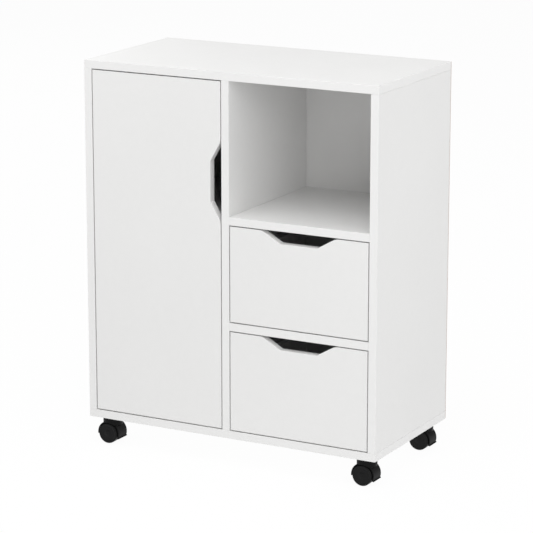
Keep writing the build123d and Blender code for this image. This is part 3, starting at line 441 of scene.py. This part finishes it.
def wheel_section():
    """Half section of a wheel from the bore's end round the hub, hollow, rim, tread and disc."""
    inner = [(0, BORE_DEPTH), (HUB_BORE, BORE_DEPTH), (HUB_BORE, 0.4), (HUB_BORE + 0.4, 0), (5.6, 0),
             (6.0, 0.4), (6.0, 9.0), (6.6, 9.6), (15.8, 9.6), (16.4, 9.0), (16.4, 0.5), (16.9, 0)]
    inner_edge = arc((WHEEL_RADIUS - INNER_ROUND, INNER_ROUND), INNER_ROUND, -90, 0, 6)
    outer_edge = arc((WHEEL_RADIUS - OUTER_ROUND, WHEEL_WIDTH - OUTER_ROUND), OUTER_ROUND, 0, 90, 8)
    tread = inner_edge + [(WHEEL_RADIUS, WHEEL_WIDTH / 2)] + outer_edge
    disc = [(15.3, WHEEL_WIDTH), (14.8, 12.5), (14.4, 12.25), (14.1, 12.0), (9.0, 12.05),
            (5.4, 12.1), (5.0, 12.3), (4.5, 12.5), (3.0, 12.55), (0, 12.55)]
    return inner + tread + disc


def lathe(section, segments):
    """A closed solid of revolution about Y from (radius, across) points in millimetres."""
    mesh = bmesh.new()
    rings = []
    for radius, across in section:
        if radius == 0:
            rings.append([mesh.verts.new((0, across * MM, 0))])
            continue
        ring = []
        for k in range(segments):
            a = 2 * math.pi * k / segments
            ring.append(mesh.verts.new((radius * MM * math.cos(a), across * MM,
                                        radius * MM * math.sin(a))))
        rings.append(ring)
    for one, two in zip(rings, rings[1:]):
        for k in range(segments):
            corners = [one[k % len(one)], one[(k + 1) % segments % len(one)],
                       two[(k + 1) % segments % len(two)], two[k % len(two)]]
            unique = list(dict.fromkeys(corners))
            if len(unique) > 2:
                mesh.faces.new(unique)
    bmesh.ops.recalc_face_normals(mesh, faces=mesh.faces)
    return mesh


def with_ribs(wheel, material):
    """The wheel's mesh with ribs added that join the hub to the rim inside the hollow."""
    mesh = bmesh.new()
    for k in range(RIBS):
        a = 2 * math.pi * k / RIBS
        out, over = Vector((math.cos(a), 0, math.sin(a))), Vector((-math.sin(a), 0, math.cos(a)))
        verts = []
        for r in (RIB_FROM, RIB_TO):
            for t in (RIB_LOW, RIB_HIGH):
                for side in (-0.5, 0.5):
                    spot = out * r + over * side * RIB_THICKNESS + Vector((0, t, 0))
                    verts.append(mesh.verts.new(spot * MM))
        for face in BOX_FACES:
            mesh.faces.new([verts[i] for i in face])
    bmesh.ops.recalc_face_normals(mesh, faces=mesh.faces)
    ribs = to_object(mesh, "wheel_ribs", material)
    union = wheel.modifiers.new("ribs", "BOOLEAN")
    union.operation, union.solver, union.object = "UNION", "EXACT", ribs
    data = baked(wheel)
    bpy.data.objects.remove(ribs)
    data.shade_smooth()
    data.set_sharp_from_angle(angle=SHARP_ANGLE)
    return data


def caster_wheels(places):
    material = wheel_nylon()
    turned = to_object(lathe(wheel_section(), WHEEL_SEGMENTS), "wheel", material)
    shape = with_ribs(turned, material)
    for place in places:
        for which, sign in (("outer", -1), ("inner", 1)):
            node = f"{place}_caster_{which}_wheel"
            low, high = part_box(node)
            near_face = high.y if sign < 0 else low.y
            wheel = linked(node.replace("_wheel", "_twin_wheel"), shape)
            wheel.location = ((low.x + high.x) / 2, near_face, low.z + WHEEL_R)
            wheel.rotation_euler = (0, 0, math.pi if sign < 0 else 0)
            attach(wheel, node)
            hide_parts(node)


# ---------------------------------------------------------------- caster hoods

HOOD_VOXEL = 0.42 * MM
HOOD_SMOOTHING = 5           # passes
HOOD_WELD = 0.001 * MM       # corners nearer than this become one


def under_centre(low, high):
    """Middle of the underside of a box."""
    return Vector(((low.x + high.x) / 2, (low.y + high.y) / 2, low.z))


def caster_hoods(places):
    """Moulded hoods: the CAD hood with every edge rounded as a moulding's are."""
    material = hood_nylon()
    source = f"{places[0]}_caster_hood"
    low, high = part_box(source)
    mesh = bmesh.new()
    mesh.from_mesh(NODES[source].data)
    bmesh.ops.translate(mesh, verts=mesh.verts, vec=-under_centre(low, high))
    bmesh.ops.remove_doubles(mesh, verts=mesh.verts, dist=HOOD_WELD)
    first = to_object(mesh, "hood", material)
    solid = first.modifiers.new("voxels", "REMESH")
    solid.mode, solid.voxel_size = "VOXEL", HOOD_VOXEL
    soft = first.modifiers.new("rounding", "SMOOTH")
    soft.factor, soft.iterations = 0.5, HOOD_SMOOTHING
    shape = baked(first)
    shape.shade_smooth()
    shape.materials.clear()
    shape.materials.append(material)
    for place in places:
        node = f"{place}_caster_hood"
        low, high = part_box(node)
        hood = linked(node.replace("_hood", "_moulded_hood"), shape)
        hood.location = under_centre(low, high)
        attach(hood, f"{place}_caster")
        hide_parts(node)


# ---------------------------------------------------------------- the CAD nodes' finishes

NOTCHED = {"door_panel": X_AXIS, "upper_drawer_front": Z_AXIS, "lower_drawer_front": Z_AXIS}
BRIGHT_NODES = ("back_panel_nails", "shelf_pins", "hinge_arms", "hinge_cups", "hinge_pins",
                "door_screws", "strike_plate", "mounting_screws", "cam_bolts", "kingpins",
                "upper_drawer_fittings", "lower_drawer_fittings")
RAIL_NODES = ("cabinet_rails", "upper_drawer_runners", "lower_drawer_runners")


def finish_nodes():
    """A finish for every CAD node that stays in view."""
    bright = zinc("zinc_steel", BRIGHT_ZINC, rough=0.30, spangle=0.06)
    dull = zinc("dull_zinc", DULL_ZINC, rough=0.46, spangle=0.10)
    rail = powder_coat("white_rail", RAIL_WHITE, rough=0.36)
    nylon = white_nylon()
    plain = {"cam_locks": dull, "dowels": beech(), "catch_housing": nylon,
             "catch_magnet": ferrite(), "caster_plates": black_plate(),
             **dict.fromkeys(BRIGHT_NODES, bright), **dict.fromkeys(RAIL_NODES, rail)}
    for name, node in NODES.items():
        if name.endswith(("_hood", "_wheel")):
            continue
        if name in plain:
            material = plain[name]
        elif name == "back_panel":
            material = backing(name, Y_AXIS, -1)
        elif name.endswith("_drawer_bottom"):
            material = backing(name, Z_AXIS, 1)
        elif name.endswith("_rollers"):
            material = nylon
        elif name.endswith("_axle"):
            material = bright
        else:
            material = board(name, NOTCHED.get(name))
        node.data.materials.clear()
        node.data.materials.append(material)


# ---------------------------------------------------------------- studio

FLOOR_REACH = 40.0
FLOOR_UNDER_WHEELS = 0.02 * MM
FLOOR_PAPER = rgb(0.9, 0.9, 0.9)
FLOOR_GLOW = 0.998
FLOOR_GLOW_SHARE = 0.96      # the rest is paper that the lamps light
WORLD_STRENGTH = 0.40
LAMPS = (                    # name, place, aimed at, width, watts
    ("overhead", (0.3, -0.4, 4.2), (0, 0, 0.4), 3.0, 68),
    ("steep_left", (-0.9, -2.2, 4.3), (0.2, 0, 0.5), 2.2, 26),
    ("front_high", (0.9, -2.9, 4.3), (0.15, 0, 0.55), 2.0, 34),
    ("front_right", (3.4, -3.6, 2.0), (0.1, 0, 0.4), 2.6, 62),
    ("right", (4.2, -1.2, 2.4), (0.1, 0, 0.4), 2.6, 30),
    ("rear_left", (-3.4, 2.6, 2.4), (0, 0, 0.4), 2.6, 34),
)


def studio_floor():
    """Pale floor that glows by itself, and is clear to a camera below it."""
    mesh = bmesh.new()
    corners = [(-FLOOR_REACH, -FLOOR_REACH), (FLOOR_REACH, -FLOOR_REACH),
               (FLOOR_REACH, FLOOR_REACH), (-FLOOR_REACH, FLOOR_REACH)]
    mesh.faces.new([mesh.verts.new((x, y, -FLOOR_UNDER_WHEELS)) for x, y in corners])
    s = Shader("studio_floor")
    nodes, links = s.tree.nodes, s.tree.links
    paper = nodes.new("ShaderNodeBsdfDiffuse")
    paper.inputs["Color"].default_value = FLOOR_PAPER
    glow = nodes.new("ShaderNodeEmission")
    glow.inputs["Strength"].default_value = FLOOR_GLOW
    sheet = nodes.new("ShaderNodeMixShader")
    sheet.inputs[0].default_value = FLOOR_GLOW_SHARE
    links.new(paper.outputs[0], sheet.inputs[1])
    links.new(glow.outputs[0], sheet.inputs[2])
    below = nodes.new("ShaderNodeNewGeometry").outputs["Backfacing"]
    clear = nodes.new("ShaderNodeBsdfTransparent")
    both = nodes.new("ShaderNodeMixShader")
    links.new(below, both.inputs[0])
    links.new(sheet.outputs[0], both.inputs[1])
    links.new(clear.outputs[0], both.inputs[2])
    links.new(both.outputs[0], nodes["Material Output"].inputs["Surface"])
    to_object(mesh, "studio_floor", s.material)


def studio_light():
    world = bpy.data.worlds.new("studio")
    world.use_nodes = True
    background = world.node_tree.nodes["Background"]
    background.inputs["Color"].default_value = rgb(1, 1, 1)
    background.inputs["Strength"].default_value = WORLD_STRENGTH
    bpy.context.scene.world = world
    bpy.context.scene.view_settings.view_transform = "Standard"
    for name, place, aim, width, watts in LAMPS:
        lamp = linked(name, bpy.data.lights.new(name, "AREA"))
        lamp.data.shape, lamp.data.size, lamp.data.energy = "SQUARE", width, watts
        lamp.location = place
        lamp.rotation_euler = (Vector(aim) - Vector(place)).to_track_quat("-Z", "Y").to_euler()


CASTER_PLACES = ("front_left", "front_right", "rear_left", "rear_right")
studio_floor()
studio_light()
finish_nodes()
caster_wheels(CASTER_PLACES)
caster_hoods(CASTER_PLACES)
